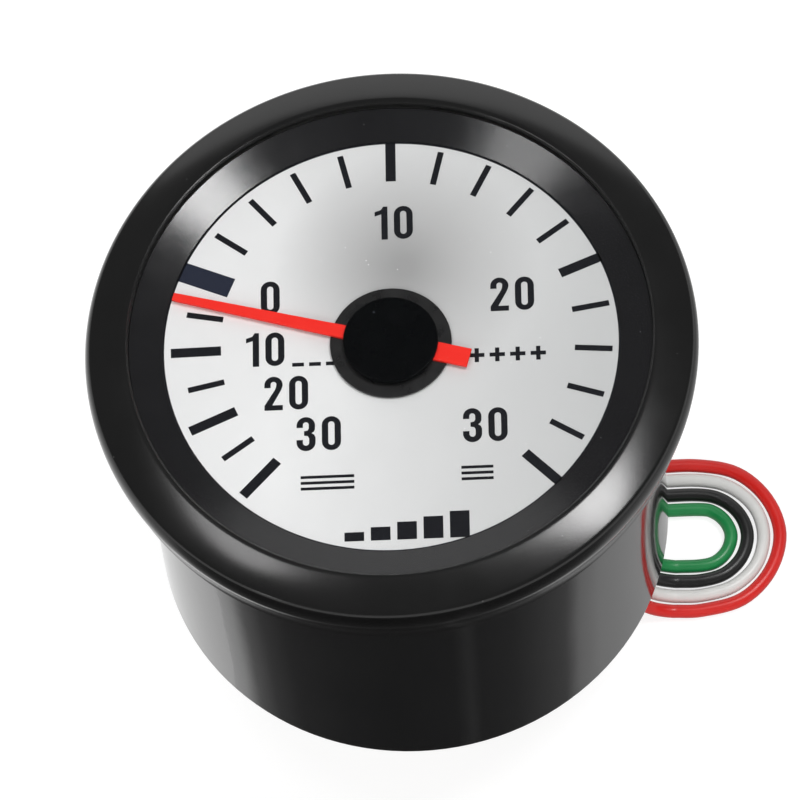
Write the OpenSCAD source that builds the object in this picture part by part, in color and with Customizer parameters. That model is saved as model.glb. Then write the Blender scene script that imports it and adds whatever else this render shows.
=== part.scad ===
// Round panel gauge for boost and vacuum, with a geared tube movement inside.
// Millimetres, +Z out of the dial, twelve o'clock of the dial toward +Y.
// It stands on its two rear studs and its pressure stem, with z = 0 under them.

/* [Case] */
// Outer diameter of the case, the part that goes through the panel
case_d = 52; // [40:0.5:80]
// From the back of the case to the rear face of its flange
case_depth = 34.2; // [20:0.2:60]
// Side wall of the case
case_wall = 1.5; // [1:0.1:3]
// Back wall of the case
back_wall = 2; // [1.2:0.1:4]
// Rounding of the rear outer edge
rear_round = 1; // [0.4:0.1:3]
// How far the flange that seats on the panel stands out from the case
flange_w = 2.6; // [1.4:0.1:8]
// Thickness of that flange
flange_t = 1.2; // [0.8:0.1:3]
// Step from the flange's edge in to the collar that the bezel snaps over
collar_step = 1.2; // [0.8:0.1:2]
// Height of the back of the case above what the gauge stands on
stand_off = 15; // [8:0.5:30]

/* [Bezel] */
// How far the straight lip at its rear stands out past the flange
lip_out = 0.6; // [0.2:0.1:2]
// How far its widest line stands out past that lip
belt_out = 0.8; // [0.4:0.1:3]
// Width of the rounded face, from the widest line in to the sharp front crease
bezel_face_w = 4.15; // [2.8:0.05:6]
// Height of the crease above the dial face
crease_h = 2.1; // [1.5:0.05:6]
// Depth of the bezel's rear face below the dial face
bezel_back = 4.95; // [3:0.05:10]
// Drop of the widest line below the dial face
belt_drop = 0.35; // [0:0.05:3]
// Height of the rounded part below the widest line
belt_low = 4; // [2:0.1:8]
// Flat land between the crease and the rounded face
crease_land = 0.35; // [0.1:0.05:2]
// Width of the edge between the crease and the clear window
crease_edge = 0.25; // [0.1:0.05:1]
// Thickness of the lip that holds the lens
lip_t = 0.2; // [0.15:0.05:1]
// Height of the snap bead and depth of its groove
bead = 0.3; // [0.1:0.05:0.6]

/* [Lens, reflector ring and dial] */
// How far the lens reaches under the bezel's lip
lens_hold = 1; // [0.6:0.1:2]
// Thickness of the lens
lens_t = 0.6; // [0.4:0.05:2]
// Thickness of the gasket under the lens
gasket_t = 0.25; // [0.2:0.05:1]
// Width of the gasket
gasket_w = 0.95; // [0.5:0.05:3]
// Clearance round the reflector ring on its seat, on the radius
ring_play = 0.1; // [0.05:0.05:0.5]
// Wall of the ring outside the dial plate
ring_wall = 0.9; // [0.6:0.1:2]
// Width of the dial's rim that the ring covers
dial_cover = 4; // [1:0.1:8]
// Height of the ring's inner edge
ring_edge = 0.15; // [0.05:0.05:1]
// Thickness of the dial plate
dial_t = 0.6; // [0.3:0.05:1.5]
// Hole in the dial plate for the pointer's arbor
dial_hole_d = 4; // [2:0.1:8]

/* [Pointer] */
// Reach of the blade from the arbor
pointer_reach = 22.1; // [12:0.1:30]
// Width of the blade at its tip
tip_w = 0.8; // [0.3:0.05:2]
// Width of the blade at the hub
blade_w = 1.45; // [0.6:0.05:4]
// Reach of the tail from the arbor
tail_reach = 7.9; // [4:0.1:14]
// Width of the tail
tail_w = 1.95; // [0.6:0.05:5]
// Thickness of the pointer
pointer_t = 0.3; // [0.2:0.05:1]
// Angle of the pointer at rest, counted from three o'clock
pointer_rest = 164.5; // [120:0.5:225]
// Diameter of the disc under the pointer
hub_d = 11.9; // [6:0.1:18]
// Thickness of that disc
hub_t = 0.2; // [0.15:0.05:1]
// Running gap between the disc and the dial
hub_gap = 0.15; // [0.1:0.05:1]
// Diameter of the cap on the pointer
cap_d = 9.3; // [4:0.1:16]
// Thickness of the cap
cap_t = 0.45; // [0.3:0.05:2]
// Rounding of the cap's edge
cap_round = 0.15; // [0.05:0.05:0.5]

/* [Movement] */
// Module of the sector and pinion teeth
tooth_module = 0.25; // [0.15:0.01:0.5]
// Teeth of the pinion on the arbor
pinion_teeth = 12; // [8:1:20]
// Teeth that a full circle of the sector would have
sector_teeth = 120; // [60:1:180]
// Teeth that the sector really has
cut_teeth = 14; // [8:1:24]
// Share of a pitch taken off each tooth flank for backlash
backlash_share = 0.04; // [0.01:0.01:0.1]
// Direction from the arbor to the sector's shaft
sector_dir = -70; // [-120:1:-40]
// Thickness of the sector
sector_t = 1.2; // [0.6:0.1:3]
// Length of the pinion
pinion_l = 4; // [2:0.1:8]
// Length of the sector's tail, from its shaft to the link pin
tail_arm = 6.5; // [4:0.1:10]
// Direction of the tail at rest
tail_dir = -12; // [-60:1:60]
// Thickness of the two movement plates
plate_t = 1.2; // [0.8:0.1:2.5]
// Clear space between the plates
plate_space = 8.4; // [6:0.1:14]
// Radius of the plates' rounded corners
plate_corner = 3; // [2:0.1:6]
// Diameter of the arbor between the plates
arbor_d = 1.6; // [1:0.05:3]
// Diameter of the fine pivots in the rear plate
pivot_d = 1; // [0.6:0.05:2]
// Running clearance of pivots and pins, on the radius
run = 0.03; // [0.01:0.01:0.1]
// Diameter of the pillars between the plates
pillar_d = 2.4; // [1.6:0.1:5]
// Outer radius of the hairspring
hair_r = 6; // [3:0.1:9]
// Turns of the hairspring
hair_turns = 4; // [2:0.5:8]
// Thickness of the hairspring strip
hair_t = 0.15; // [0.05:0.01:0.4]
// Width of the hairspring strip
hair_w = 0.7; // [0.3:0.05:1.5]
// Width of the link
link_w = 1.1; // [0.6:0.05:3]
// Thickness of the link
link_t = 0.6; // [0.3:0.05:1.5]
// Diameter of the link's pins
link_pin_d = 0.9; // [0.5:0.05:2]
// Radial play of the link at the tube's tip, where the loop is left open
link_play = 0.15; // [0.05:0.01:0.4]

/* [Pressure tube] */
// Radius of the tube's curve
tube_r = 19.5; // [12:0.1:24]
// Height of the flattened tube
tube_w = 5; // [2:0.1:10]
// Thickness of the flattened tube
tube_t = 1.6; // [1:0.05:4]
// Wall of the tube
tube_wall = 0.4; // [0.2:0.05:1]
// Angle at which the tube leaves the socket
tube_root = 255; // [200:1:270]
// Angle at which the tube enters its tip
tube_end = -12; // [-60:1:60]
// Radius at which the tip carries the link
tip_r = 20.2; // [14:0.1:24]
// Angle at which the tip carries the link
tip_pin_dir = -17.3; // [-60:0.1:60]

/* [Pressure stem] */
// Place of the stem below the middle of the back
stem_y = -10; // [-18:0.5:0]
// Diameter over the stem's thread, the major diameter of a 1/8 pipe thread
stem_d = 10.28; // [6:0.01:16]
// Diameter of the neck that the nut clamps
neck_d = 12; // [8:0.1:20]
// Length of the threaded stem below the neck
stem_l = 10.5; // [5:0.1:20]
// Bore of the stem
stem_bore = 2.4; // [1:0.1:5]
// Bevel at the stem's end
stem_bevel = 0.8; // [0.2:0.1:2]
// Width across the flats of the clamping nut
nut_flats = 14; // [10:0.5:24]
// Diameter of the washer under that nut
washer_d = 18; // [14:0.5:28]
// Thickness of that washer
washer_t = 1; // [0.5:0.1:2]
// Width of the socket block inside the case
block_w = 12; // [8:0.5:20]
// Depth of the socket block inside the case
block_y = 10.5; // [8:0.5:16]
// Height of the socket block above the back wall
block_h = 18; // [8:0.5:24]

/* [Studs] */
// Distance between the two studs
stud_space = 32; // [20:0.5:44]
// Height of the studs' line above the middle of the back
stud_y = 3; // [-10:0.5:12]
// Diameter of the studs' free ends, which hold the bracket
stud_d = 4; // [3:0.5:6]
// Step from a free end out to its thicker root, on the radius
stud_step = 0.5; // [0.2:0.1:1.5]
// How far that root reaches out of its nut
stud_root_l = 0.4; // [0.2:0.1:2]
// Diameter of the studs' heads inside the case
stud_head_d = 8; // [5:0.5:12]
// Thickness of the studs' heads
stud_head_t = 1.6; // [1:0.1:3]
// Bevel at the studs' ends
stud_bevel = 0.4; // [0.1:0.1:1]
// Width across the flats of the nuts
stud_nut_flats = 8; // [6:0.5:12]
// Thickness of the nuts
stud_nut_t = 2.2; // [1.5:0.1:5]

/* [Lamp board] */
// Height of the board's underside above the back wall
board_z = 33; // [20:0.5:50]
// Thickness of the board
board_t = 1.2; // [0.8:0.1:2]
// Opening of the board round the movement
board_hole_d = 30; // [20:0.5:40]
// Clearance of the board in the case, on the radius
board_gap = 0.3; // [0.1:0.05:1]
// Diameter of the bosses that carry the board
boss_d = 3.6; // [2.5:0.1:6]
// Number of lamps
lamps = 6; // [2:1:12]
// Length of one lamp
lamp_l = 3.5; // [1:0.1:6]
// Width of one lamp
lamp_w = 2.8; // [1:0.1:6]
// Height of one lamp
lamp_h = 1.5; // [0.5:0.1:3]

/* [Leads] */
// Diameter of a lead over its insulation
lead_d = 1.4; // [1:0.1:3]
// Length of the bare tinned ends
bare_l = 5; // [2:0.5:10]
// Diameter of the bare tinned ends
bare_d = 0.9; // [0.4:0.1:2]
// Width of the grommet through the back wall
grommet_w = 3.2; // [2:0.1:6]
// How far the grommet's flanges stand out round its neck
grommet_lip = 0.45; // [0.2:0.05:2]
// Thickness of the grommet's outer flange
grommet_t = 1; // [0.5:0.1:2]

/* [Hidden] */
$fn = 96;
// one overrun for all cuts, one snug clearance for all seats
over = 0.5;
snug = 0.03;

// heights, from what the gauge stands on
back_z = stand_off;
floor_z = back_z + back_wall;
flange_z = back_z + case_depth;
bezel_z = flange_z + flange_t;
face_z = bezel_z + bezel_back;
collar_z = face_z - dial_t;
crease_z = face_z + crease_h;
lens_top = crease_z - lip_t;
lens_z = lens_top - lens_t;
gasket_z = lens_z - gasket_t;
belt_z = face_z - belt_drop;

case_r = case_d / 2;
inner_r = case_r - case_wall;
flange_r = case_r + flange_w;
collar_r = flange_r - collar_step;
bezel_lip_r = flange_r + lip_out;
bezel_r = bezel_lip_r + belt_out;
crease_r = bezel_r - bezel_face_w;
crown_r = crease_r + crease_land;
window_r = crease_r - crease_edge;
lens_r = window_r + lens_hold;
bore_r = collar_r + snug;
ring_r = collar_r - ring_play;
dial_r = ring_r - ring_wall;
dial_window_r = dial_r - dial_cover;
bead_z = bezel_z + bezel_back / 3;
// angle of the lower arc at which the bezel reaches its straight lip
lip_angle = acos((bezel_lip_r - crown_r) / (bezel_r - crown_r));
arc_steps = 16;
low_steps = 8;

// movement
pitch_small = tooth_module * pinion_teeth / 2;
pitch_large = tooth_module * sector_teeth / 2;
gear_space = pitch_small + pitch_large;
sector_at = gear_space * [cos(sector_dir), sin(sector_dir)];
tail_pin_at = sector_at + tail_arm * [cos(tail_dir), sin(tail_dir)];
tip_pin_at = tip_r * [cos(tip_pin_dir), sin(tip_pin_dir)];
pressure_angle = 20;
// heights of the teeth as shares of the module: pinion, then sector
pinion_head_share = 1;
pinion_foot_share = 0.9;
sector_head_share = 0.65;
sector_foot_share = 1.25;
flank_steps = 4;
rear_plate_z = floor_z + block_h;
between_z = rear_plate_z + plate_t;
front_plate_z = between_z + plate_space;
shoulder_gap = plate_t / 12;
pinion_z = between_z + plate_t;
sector_z = pinion_z + (pinion_l - sector_t) / 2;
link_gap = sector_t / 4;
link_z = sector_z + sector_t + link_gap;
pin_top = link_z + link_t + link_gap;
hair_z = pinion_z + pinion_l + hair_w;
tube_z = sector_z + sector_t / 2;
// corners of the plates: left pillar, right pillar, low pillar, sector shaft
pillar_shares = [[-0.41, 0.103], [0.436, 0.256], [-0.256, -0.718]];
pillars_at = [for (p = pillar_shares) p * tube_r];
screw_shares = [[-0.3, 0.15], [0.3, -0.15]];
screw_d = pillar_d / 2;
screw_head_d = plate_corner;
screw_head_t = plate_t * 3 / 4;
screw_depth = plate_t * 2;
screw_slot = screw_head_t / 2;

// socket column that holds the root of the tube
column_w = tube_t * 3.4;
column_d = tube_t * 2.4;
column_low = block_h * 0.72;
root_at = tube_r * [cos(tube_root), sin(tube_root)];
column_x = root_at[0] - column_w / 12;
column_y = root_at[1] - column_d / 6;
column_top = tube_z + tube_w / 2 + plate_t / 2;
root_hold = 16;
tip_hold = 1.6;
tip_from = tube_end + 1;
tip_wall = tube_wall;
tongue_end = tip_pin_dir - 3.3;

stud_root_r = stud_d / 2 + stud_step;
neck_z = stem_l;
nut_z = neck_z;
washer_z = back_z - washer_t;
bosses = 3;
boss_first = 30;
boss_r = inner_r - boss_d / 2 - board_gap / 3;
board_low = floor_z + board_z;
lamp_r = (board_hole_d / 2 + inner_r) / 2;

grommet_z = back_z - grommet_t;
grommet_top = floor_z + grommet_t * 0.8;

// routes of the four leads, chosen by hand in millimetres, and scene.py repeats them
route_red = [[21.9, -4.6, 14], [21.9, -4.6, 10], [22, -4.6, 5.8], [23.3, -4.6, 2.2],
    [26, -4.6, 0.7], [29, -4.6, 0.7], [33.2, -3.5, 0.7], [36.2, -0.4, 0.7], [37.4, 3.8, 0.7],
    [36.2, 7.9, 0.7], [33.2, 11, 0.7], [29, 12.1, 0.7], [24, 12.1, 0.7], [18, 12.1, 0.7],
    [12, 12.1, 0.7], [6, 12.1, 0.7], [0, 12.1, 0.7], [-6, 12.1, 0.7], [-12, 12.1, 0.7]];
route_white = [[22.2, -2.9, 14], [22.2, -2.9, 10], [22.3, -2.9, 5.8], [23.6, -2.9, 2.2],
    [26.2, -2.9, 0.7], [29, -2.9, 0.7], [32.3, -2, 0.7], [34.8, 0.4, 0.7], [35.7, 3.8, 0.7],
    [34.8, 7.1, 0.7], [32.3, 9.5, 0.7], [29, 10.4, 0.7], [24, 10.4, 0.7], [18, 10.4, 0.7],
    [12, 10.4, 0.7], [6, 10.4, 0.7], [0, 10.4, 0.7], [-6, 10.4, 0.7], [-12, 10.4, 0.7]];
route_black = [[22.4, -1.2, 14], [22.4, -1.2, 10], [22.5, -1.2, 5.8], [23.8, -1.2, 2.2],
    [26.4, -1.2, 0.7], [29, -1.2, 0.7], [31.5, -0.5, 0.7], [33.3, 1.3, 0.7], [34, 3.8, 0.7],
    [33.3, 6.2, 0.7], [31.5, 8, 0.7], [29, 8.7, 0.7], [24, 8.7, 0.7], [18, 8.7, 0.7],
    [12, 8.7, 0.7], [6, 8.7, 0.7], [0, 8.7, 0.7], [-6, 8.7, 0.7], [-12, 8.7, 0.7]];
route_green = [[22.4, 0.5, 14], [22.4, 0.5, 10], [22.5, 0.5, 5.8], [23.8, 0.5, 2.2],
    [26.4, 0.5, 0.7], [29, 0.5, 0.7], [30.6, 0.9, 0.7], [31.8, 2.1, 0.7], [32.3, 3.8, 0.7],
    [31.8, 5.4, 0.7], [30.6, 6.6, 0.7], [29, 7, 0.7], [24, 7, 0.7], [18, 7, 0.7],
    [12, 7, 0.7], [6, 7, 0.7], [0, 7, 0.7], [-6, 7, 0.7], [-12, 7, 0.7]];
routes = [route_red, route_white, route_black, route_green];
lead_sides = 8;

black = [0.03, 0.03, 0.035];
rubber = [0.06, 0.06, 0.06];
brass = [0.78, 0.62, 0.3];
steel = [0.72, 0.72, 0.74];
silver = [0.86, 0.87, 0.87];
bronze = [0.72, 0.52, 0.3];

// a ring turned from an outline of [radius, height] points
module turned(outline) { rotate_extrude() polygon(outline); }

// a solid cylinder between two heights
module rod(d, low, high) { translate([0, 0, low]) cylinder(h = high - low, d = d); }

// the same, longer at both ends, for cuts
module drill(d, low, high) { rod(d, low - over, high + over); }

// the thin-walled cup behind the panel, with its flange, its collar and the board's bosses
module housing() {
    color(black) {
        difference() {
            turned([[0, back_z], [case_r - rear_round, back_z],
                for (k = [1 : low_steps]) let (a = 90 * k / low_steps)
                    [case_r - rear_round + rear_round * sin(a), back_z + rear_round - rear_round * cos(a)],
                [case_r, flange_z], [flange_r, flange_z], [flange_r, bezel_z],
                [collar_r, bezel_z], [collar_r, bead_z - bead],
                [collar_r - bead, bead_z], [collar_r, bead_z + bead],
                [collar_r, collar_z], [inner_r, collar_z], [inner_r, floor_z], [0, floor_z]]);
            translate([0, stem_y, 0]) drill(neck_d + 2 * snug, back_z, floor_z);
            at_studs() drill(2 * (stud_root_r + snug), back_z, floor_z);
            translate([0, 0, back_z - over]) linear_extrude(back_wall + 2 * over)
                grommet_outline(grommet_w / 2);
        }
        at_bosses() difference() {
            rod(boss_d, floor_z, board_low);
            drill(screw_d, board_low - screw_depth, board_low);
        }
        at_bosses() translate([boss_d / 4, -boss_d / 4, floor_z])
            cube([inner_r - boss_r, boss_d / 2, board_z - board_t]);
    }
}

module at_studs() { for (s = [-1, 1]) translate([s * stud_space / 2, stud_y, 0]) children(); }
module at_bosses() { for (k = [0 : bosses - 1]) rotate(boss_first + k * 360 / bosses)
    translate([boss_r, 0, 0]) children(); }

// the rounded snap-on ring with its sharp front crease
module bezel() {
    color(black) turned([
        [bore_r, bezel_z], [bezel_lip_r - snug, bezel_z],
        for (k = [low_steps : -1 : 1]) let (a = lip_angle * k / low_steps)
            [crown_r + (bezel_r - crown_r) * cos(a), belt_z - belt_low * sin(a)],
        for (k = [0 : arc_steps]) let (a = 90 * k / arc_steps)
            [crown_r + (bezel_r - crown_r) * cos(a), belt_z + (crease_z - belt_z) * sin(a)],
        [crease_r, crease_z], [window_r, crease_z], [window_r, lens_top],
        [lens_r + 2 * snug, lens_top], [lens_r + 2 * snug, gasket_z],
        [bore_r, gasket_z], [bore_r, bead_z + bead], [bore_r - bead + snug, bead_z],
        [bore_r, bead_z - bead]]);
}

module lens() { color([0.8, 0.85, 0.9, 0.3]) rod(2 * lens_r, lens_z, lens_top); }

module lens_gasket() {
    color(rubber) turned([[lens_r - gasket_w, gasket_z], [lens_r, gasket_z],
        [lens_r, lens_z], [lens_r - gasket_w, lens_z]]);
}

// the black cone between the lens and the dial, which also clamps the dial's rim
module reflector_ring() {
    ring_top_r = lens_r - gasket_w - 2 * snug;
    color(black) turned([[dial_window_r, face_z], [dial_r + 2 * snug, face_z],
        [dial_r + 2 * snug, collar_z], [ring_r, collar_z], [ring_r, gasket_z],
        [ring_top_r, gasket_z], [ring_top_r, gasket_z + gasket_t / 2],
        [dial_window_r, face_z + ring_edge]]);
}

module dial_plate() {
    color(silver) difference() {
        rod(2 * dial_r, collar_z, face_z);
        drill(dial_hole_d, collar_z, face_z);
    }
}

hub_z = face_z + hub_gap;
pointer_z = hub_z + hub_t;
cap_z = pointer_z + pointer_t;
boss_top_d = arbor_d * 2;

// blade and tail in one flat piece
module pointer() {
    color([0.9, 0.05, 0.04]) rotate(pointer_rest) difference() {
        translate([0, 0, pointer_z]) linear_extrude(pointer_t)
            polygon([[-tail_reach, -tail_w / 2], [-boss_top_d, -tail_w / 2], [-boss_top_d, -boss_top_d * 0.6],
                [boss_top_d, -boss_top_d * 0.6], [boss_top_d, -blade_w / 2], [pointer_reach, -tip_w / 2],
                [pointer_reach, tip_w / 2], [boss_top_d, blade_w / 2], [boss_top_d, boss_top_d * 0.6],
                [-boss_top_d, boss_top_d * 0.6], [-boss_top_d, tail_w / 2], [-tail_reach, tail_w / 2]]);
        drill(boss_top_d + 2 * snug, pointer_z, cap_z);
    }
}

module pointer_hub() {
    color(black) difference() {
        union() {
            rod(hub_d, hub_z, pointer_z);
            rod(boss_top_d, hub_z, cap_z);
        }
        drill(arbor_top_d + 2 * snug, hub_z, cap_z);
    }
}

module hub_cap() {
    color(black) turned([[0, cap_z], [cap_d / 2, cap_z], [cap_d / 2, cap_z + cap_t - cap_round],
        for (k = [1 : 4]) let (a = 90 * k / 4)
            [cap_d / 2 - cap_round + cap_round * cos(a), cap_z + cap_t - cap_round + cap_round * sin(a)],
        [0, cap_z + cap_t]]);
}

// half the width of an involute tooth, as an angle, at radius r
function inv(a) = tan(a) - a * PI / 180;
function half_tooth(r, pitch, teeth) = let (base = pitch * cos(pressure_angle))
    (90 / teeth) * (1 - 2 * backlash_share)
    + (inv(pressure_angle) - inv(acos(min(1, base / r)))) * 180 / PI;
// one tooth about angle c, between radii low and high
function tooth(c, low, high, pitch, teeth) = let (radii = [for (k = [0 : flank_steps])
        low + (high - low) * k / flank_steps])
    concat([for (r = radii) r * [cos(c - half_tooth(r, pitch, teeth)), sin(c - half_tooth(r, pitch, teeth))]],
        [for (k = [flank_steps : -1 : 0]) let (r = radii[k])
            r * [cos(c + half_tooth(r, pitch, teeth)), sin(c + half_tooth(r, pitch, teeth))]]);

arbor_top_d = arbor_d * 0.875;

// the pointer's arbor, with its twelve-tooth pinion, a gap between teeth facing the sector
module arbor() {
    color(steel) {
        turned([[0, rear_plate_z], [pivot_d / 2, rear_plate_z], [pivot_d / 2, between_z + shoulder_gap],
            [arbor_d / 2, between_z + shoulder_gap], [arbor_d / 2, front_plate_z + plate_t + shoulder_gap],
            [arbor_top_d / 2, front_plate_z + plate_t + shoulder_gap], [arbor_top_d / 2, cap_z], [0, cap_z]]);
        translate([0, 0, pinion_z]) linear_extrude(pinion_l) polygon([for (k = [0 : pinion_teeth - 1])
            each tooth(sector_dir + (k + 0.5) * 360 / pinion_teeth,
                pitch_small - pinion_foot_share * tooth_module,
                pitch_small + pinion_head_share * tooth_module, pitch_small, pinion_teeth)]);
    }
}

// a flat spiral strip from the arbor's collet to the post on the front plate
hair_in = arbor_d;
hair_steps = 24;
function spiral(side) = [for (k = [0 : hair_turns * hair_steps]) let (
        r = hair_in + (hair_r - hair_in) * k / (hair_turns * hair_steps) + side * hair_t / 2,
        a = 360 * k / hair_steps) r * [cos(a), sin(a)]];
module hairspring() {
    back = spiral(-1);
    color(bronze) {
        translate([0, 0, hair_z]) linear_extrude(hair_w)
            polygon(concat(spiral(1), [for (k = [len(back) - 1 : -1 : 0]) back[k]]));
        difference() {
            rod(hair_in * 2, hair_z, hair_z + hair_w);
            drill(arbor_d + 2 * snug, hair_z, hair_z + hair_w);
        }
    }
}

sector_hub_d = arbor_d * 2.6;
rim_w = tooth_module * 8;
spoke_w = arbor_d;
// the toothed sector: rim, two spokes, hub, and the tail with the link pin
module sector_gear() {
    pitch_angle = 360 / sector_teeth;
    toward = sector_dir + 180;
    first = -floor(cut_teeth * 0.65);
    low = pitch_large - sector_foot_share * tooth_module;
    from = toward + (first - 0.5) * pitch_angle;
    to = toward + (first + cut_teeth - 0.5) * pitch_angle;
    color(brass) translate([sector_at[0], sector_at[1], 0]) difference() {
        union() {
            translate([0, 0, sector_z]) linear_extrude(sector_t) {
                polygon(concat([for (k = [0 : cut_teeth - 1]) each tooth(toward + (first + k) * pitch_angle,
                        low, pitch_large + sector_head_share * tooth_module, pitch_large, sector_teeth)],
                    [for (a = [to : -pitch_angle : from]) (low - rim_w) * [cos(a), sin(a)]]));
                for (a = [from + pitch_angle, to - pitch_angle]) rotate(a)
                    translate([0, -spoke_w / 2]) square([low - rim_w / 2, spoke_w]);
                rotate(tail_dir) translate([0, -spoke_w / 2]) square([tail_arm, spoke_w]);
            }
            rod(sector_hub_d, sector_z, sector_z + sector_t);
            rotate(tail_dir) translate([tail_arm, 0, 0]) {
                rod(spoke_w, sector_z, sector_z + sector_t);
                rod(link_pin_d, sector_z, pin_top);
            }
        }
        drill(arbor_d + 2 * snug, sector_z, sector_z + sector_t);
    }
}

module sector_shaft() {
    color(steel) translate([sector_at[0], sector_at[1], 0]) {
        rod(pivot_d, rear_plate_z, front_plate_z + plate_t);
        rod(arbor_d, between_z + shoulder_gap, front_plate_z - shoulder_gap);
    }
}

// the bar from the sector's tail to the tube's tip
module link() {
    run_to = tip_pin_at - tail_pin_at;
    length = norm(run_to);
    color(steel) translate([tail_pin_at[0], tail_pin_at[1], link_z]) rotate(atan2(run_to[1], run_to[0]))
    difference() {
        union() {
            translate([0, -link_w / 2, 0]) cube([length, link_w, link_t]);
            cylinder(h = link_t, d = link_w * 2);
            translate([length, 0, 0]) cylinder(h = link_t, d = link_w * 2);
        }
        translate([0, 0, -over]) cylinder(h = link_t + 2 * over, d = link_pin_d + 2 * run);
        translate([length, 0, -over]) cylinder(h = link_t + 2 * over, d = link_pin_d + 2 * link_play);
    }
}

// the flattened section of the tube, drawn in by a margin
module tube_section(margin) {
    translate([tube_r - tube_t / 2 + margin, tube_z - tube_w / 2 + margin])
        square([tube_t - 2 * margin, tube_w - 2 * margin]);
}

module tube_arc(from, to, margin) {
    rotate(from) rotate_extrude(angle = to - from) tube_section(margin);
}

// C-shaped flattened tube, closed in its socket and its tip
module bourdon_tube() {
    color(bronze) difference() {
        tube_arc(tube_end, tube_root, 0);
        tube_arc(tube_end - tip_hold, tube_root + tip_hold, tube_wall);
    }
}

// the cap soldered on the tube's free end, with the tongue and pin for the link
module tube_tip() {
    cap_in = tube_r - tube_t / 2 - tip_wall;
    cap_out = tube_r + tube_t / 2 + tip_wall;
    color(brass) {
        difference() {
            rotate(tube_end - tip_hold) rotate_extrude(angle = tip_from + tip_hold - tube_end)
                translate([cap_in, tube_z - tube_w / 2 - tip_wall])
                    square([cap_out - cap_in, tube_w + 2 * tip_wall]);
            tube_arc(tube_end, tip_from + tip_hold, -snug);
        }
        rotate(tongue_end) rotate_extrude(angle = tube_end - tip_hold / 2 - tongue_end)
            translate([cap_in, sector_z]) square([cap_out + tip_wall - cap_in, sector_t]);
        translate([tip_pin_at[0], tip_pin_at[1], 0]) rod(link_pin_d, sector_z, pin_top);
    }
}

// brass block inside the case, with the column for the tube, the neck and the threaded stem
module pressure_socket() {
    hold_from = tube_root - root_hold;
    color(brass) difference() {
        union() {
            translate([-block_w / 2, stem_y - block_y / 2, floor_z]) cube([block_w, block_y, block_h]);
            translate([column_x - column_w / 2, column_y - column_d / 2, floor_z + column_low])
                cube([column_w, column_d, column_top - floor_z - column_low]);
            translate([column_x - column_w / 2, column_y - column_d / 2, floor_z + column_low])
                cube([column_w, stem_y - column_y, block_h - column_low - snug]);
            translate([0, stem_y, 0]) {
                rod(neck_d, neck_z, floor_z + over);
                turned([[0, 0], [stem_d / 2 - stem_bevel, 0], [stem_d / 2, stem_bevel],
                    [stem_d / 2, neck_z + over], [0, neck_z + over]]);
            }
        }
        translate([0, stem_y, 0]) rod(stem_bore, -over, floor_z + column_low + stem_bore);
        passage();
        translate([root_at[0], root_at[1], 0])
            rod(tube_t * 0.75, floor_z + column_low + stem_bore / 4, tube_z);
        tube_arc(hold_from, tube_root, -snug);
        at_screws() drill(screw_d, rear_plate_z - screw_depth, rear_plate_z);
    }
}

// the drilling that joins the stem's bore to the column
module passage() {
    run_to = root_at - [0, stem_y];
    translate([0, stem_y, floor_z + column_low + stem_bore / 2]) rotate(atan2(run_to[1], run_to[0]))
        rotate([0, 90, 0]) cylinder(h = norm(run_to), d = tube_t / 2);
}

module at_screws() {
    for (s = screw_shares) translate([s[0] * block_w, stem_y + s[1] * block_y, 0]) children();
}

module socket_nut() {
    color(brass) translate([0, stem_y, 0]) difference() {
        translate([0, 0, nut_z]) cylinder(h = washer_z - nut_z, d = nut_flats / cos(30), $fn = 6);
        drill(neck_d + 2 * snug, nut_z, washer_z);
    }
}

module socket_washer() {
    color(steel) translate([0, stem_y, 0]) difference() {
        rod(washer_d, washer_z, back_z);
        drill(neck_d + 2 * snug, washer_z, back_z);
    }
}

// rounded outline that both plates share
module plate_outline() {
    hull() {
        for (p = pillars_at) translate(p) circle(r = plate_corner);
        translate(sector_at) circle(r = plate_corner);
    }
}

module at_pillars() { for (p = pillars_at) translate([p[0], p[1], 0]) children(); }

module rear_plate() {
    color(brass) difference() {
        translate([0, 0, rear_plate_z]) linear_extrude(plate_t) plate_outline();
        drill(pivot_d + 2 * run, rear_plate_z, between_z);
        translate([sector_at[0], sector_at[1], 0]) drill(pivot_d + 2 * run, rear_plate_z, between_z);
        at_screws() drill(screw_d + 2 * snug, rear_plate_z, between_z);
    }
}

hair_post_d = arbor_d * 0.75;
module front_plate() {
    top = front_plate_z + plate_t;
    color(brass) difference() {
        union() {
            translate([0, 0, front_plate_z]) linear_extrude(plate_t) plate_outline();
            translate([hair_r + hair_t / 2 + snug + hair_post_d / 2, 0, 0])
                rod(hair_post_d, hair_z, front_plate_z);
        }
        drill(arbor_d + 2 * run, front_plate_z, top);
        translate([sector_at[0], sector_at[1], 0]) drill(pivot_d + 2 * run, front_plate_z, top);
        at_pillars() drill(screw_d + 2 * snug, front_plate_z, top);
    }
}

module plate_pillars() {
    color(brass) at_pillars() difference() {
        rod(pillar_d, between_z, front_plate_z);
        translate([0, 0, front_plate_z - screw_depth])
            cylinder(h = screw_depth + over, d = screw_d + 2 * snug);
    }
}

// a slotted cheese-head screw whose head sits at a height
module screw(seat) {
    difference() {
        union() {
            rod(screw_d, seat - plate_t - screw_depth / 2, seat + screw_head_t / 2);
            rod(screw_head_d, seat, seat + screw_head_t);
        }
        translate([-screw_head_d, -screw_slot / 2, seat + screw_head_t - screw_slot])
            cube([screw_head_d * 2, screw_slot, screw_head_t]);
    }
}

module plate_screws() { color(steel) at_pillars() screw(front_plate_z + plate_t); }
module socket_screws() { color(steel) at_screws() screw(between_z); }
module board_screws() { color(steel) at_bosses() screw(board_low + board_t); }

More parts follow.
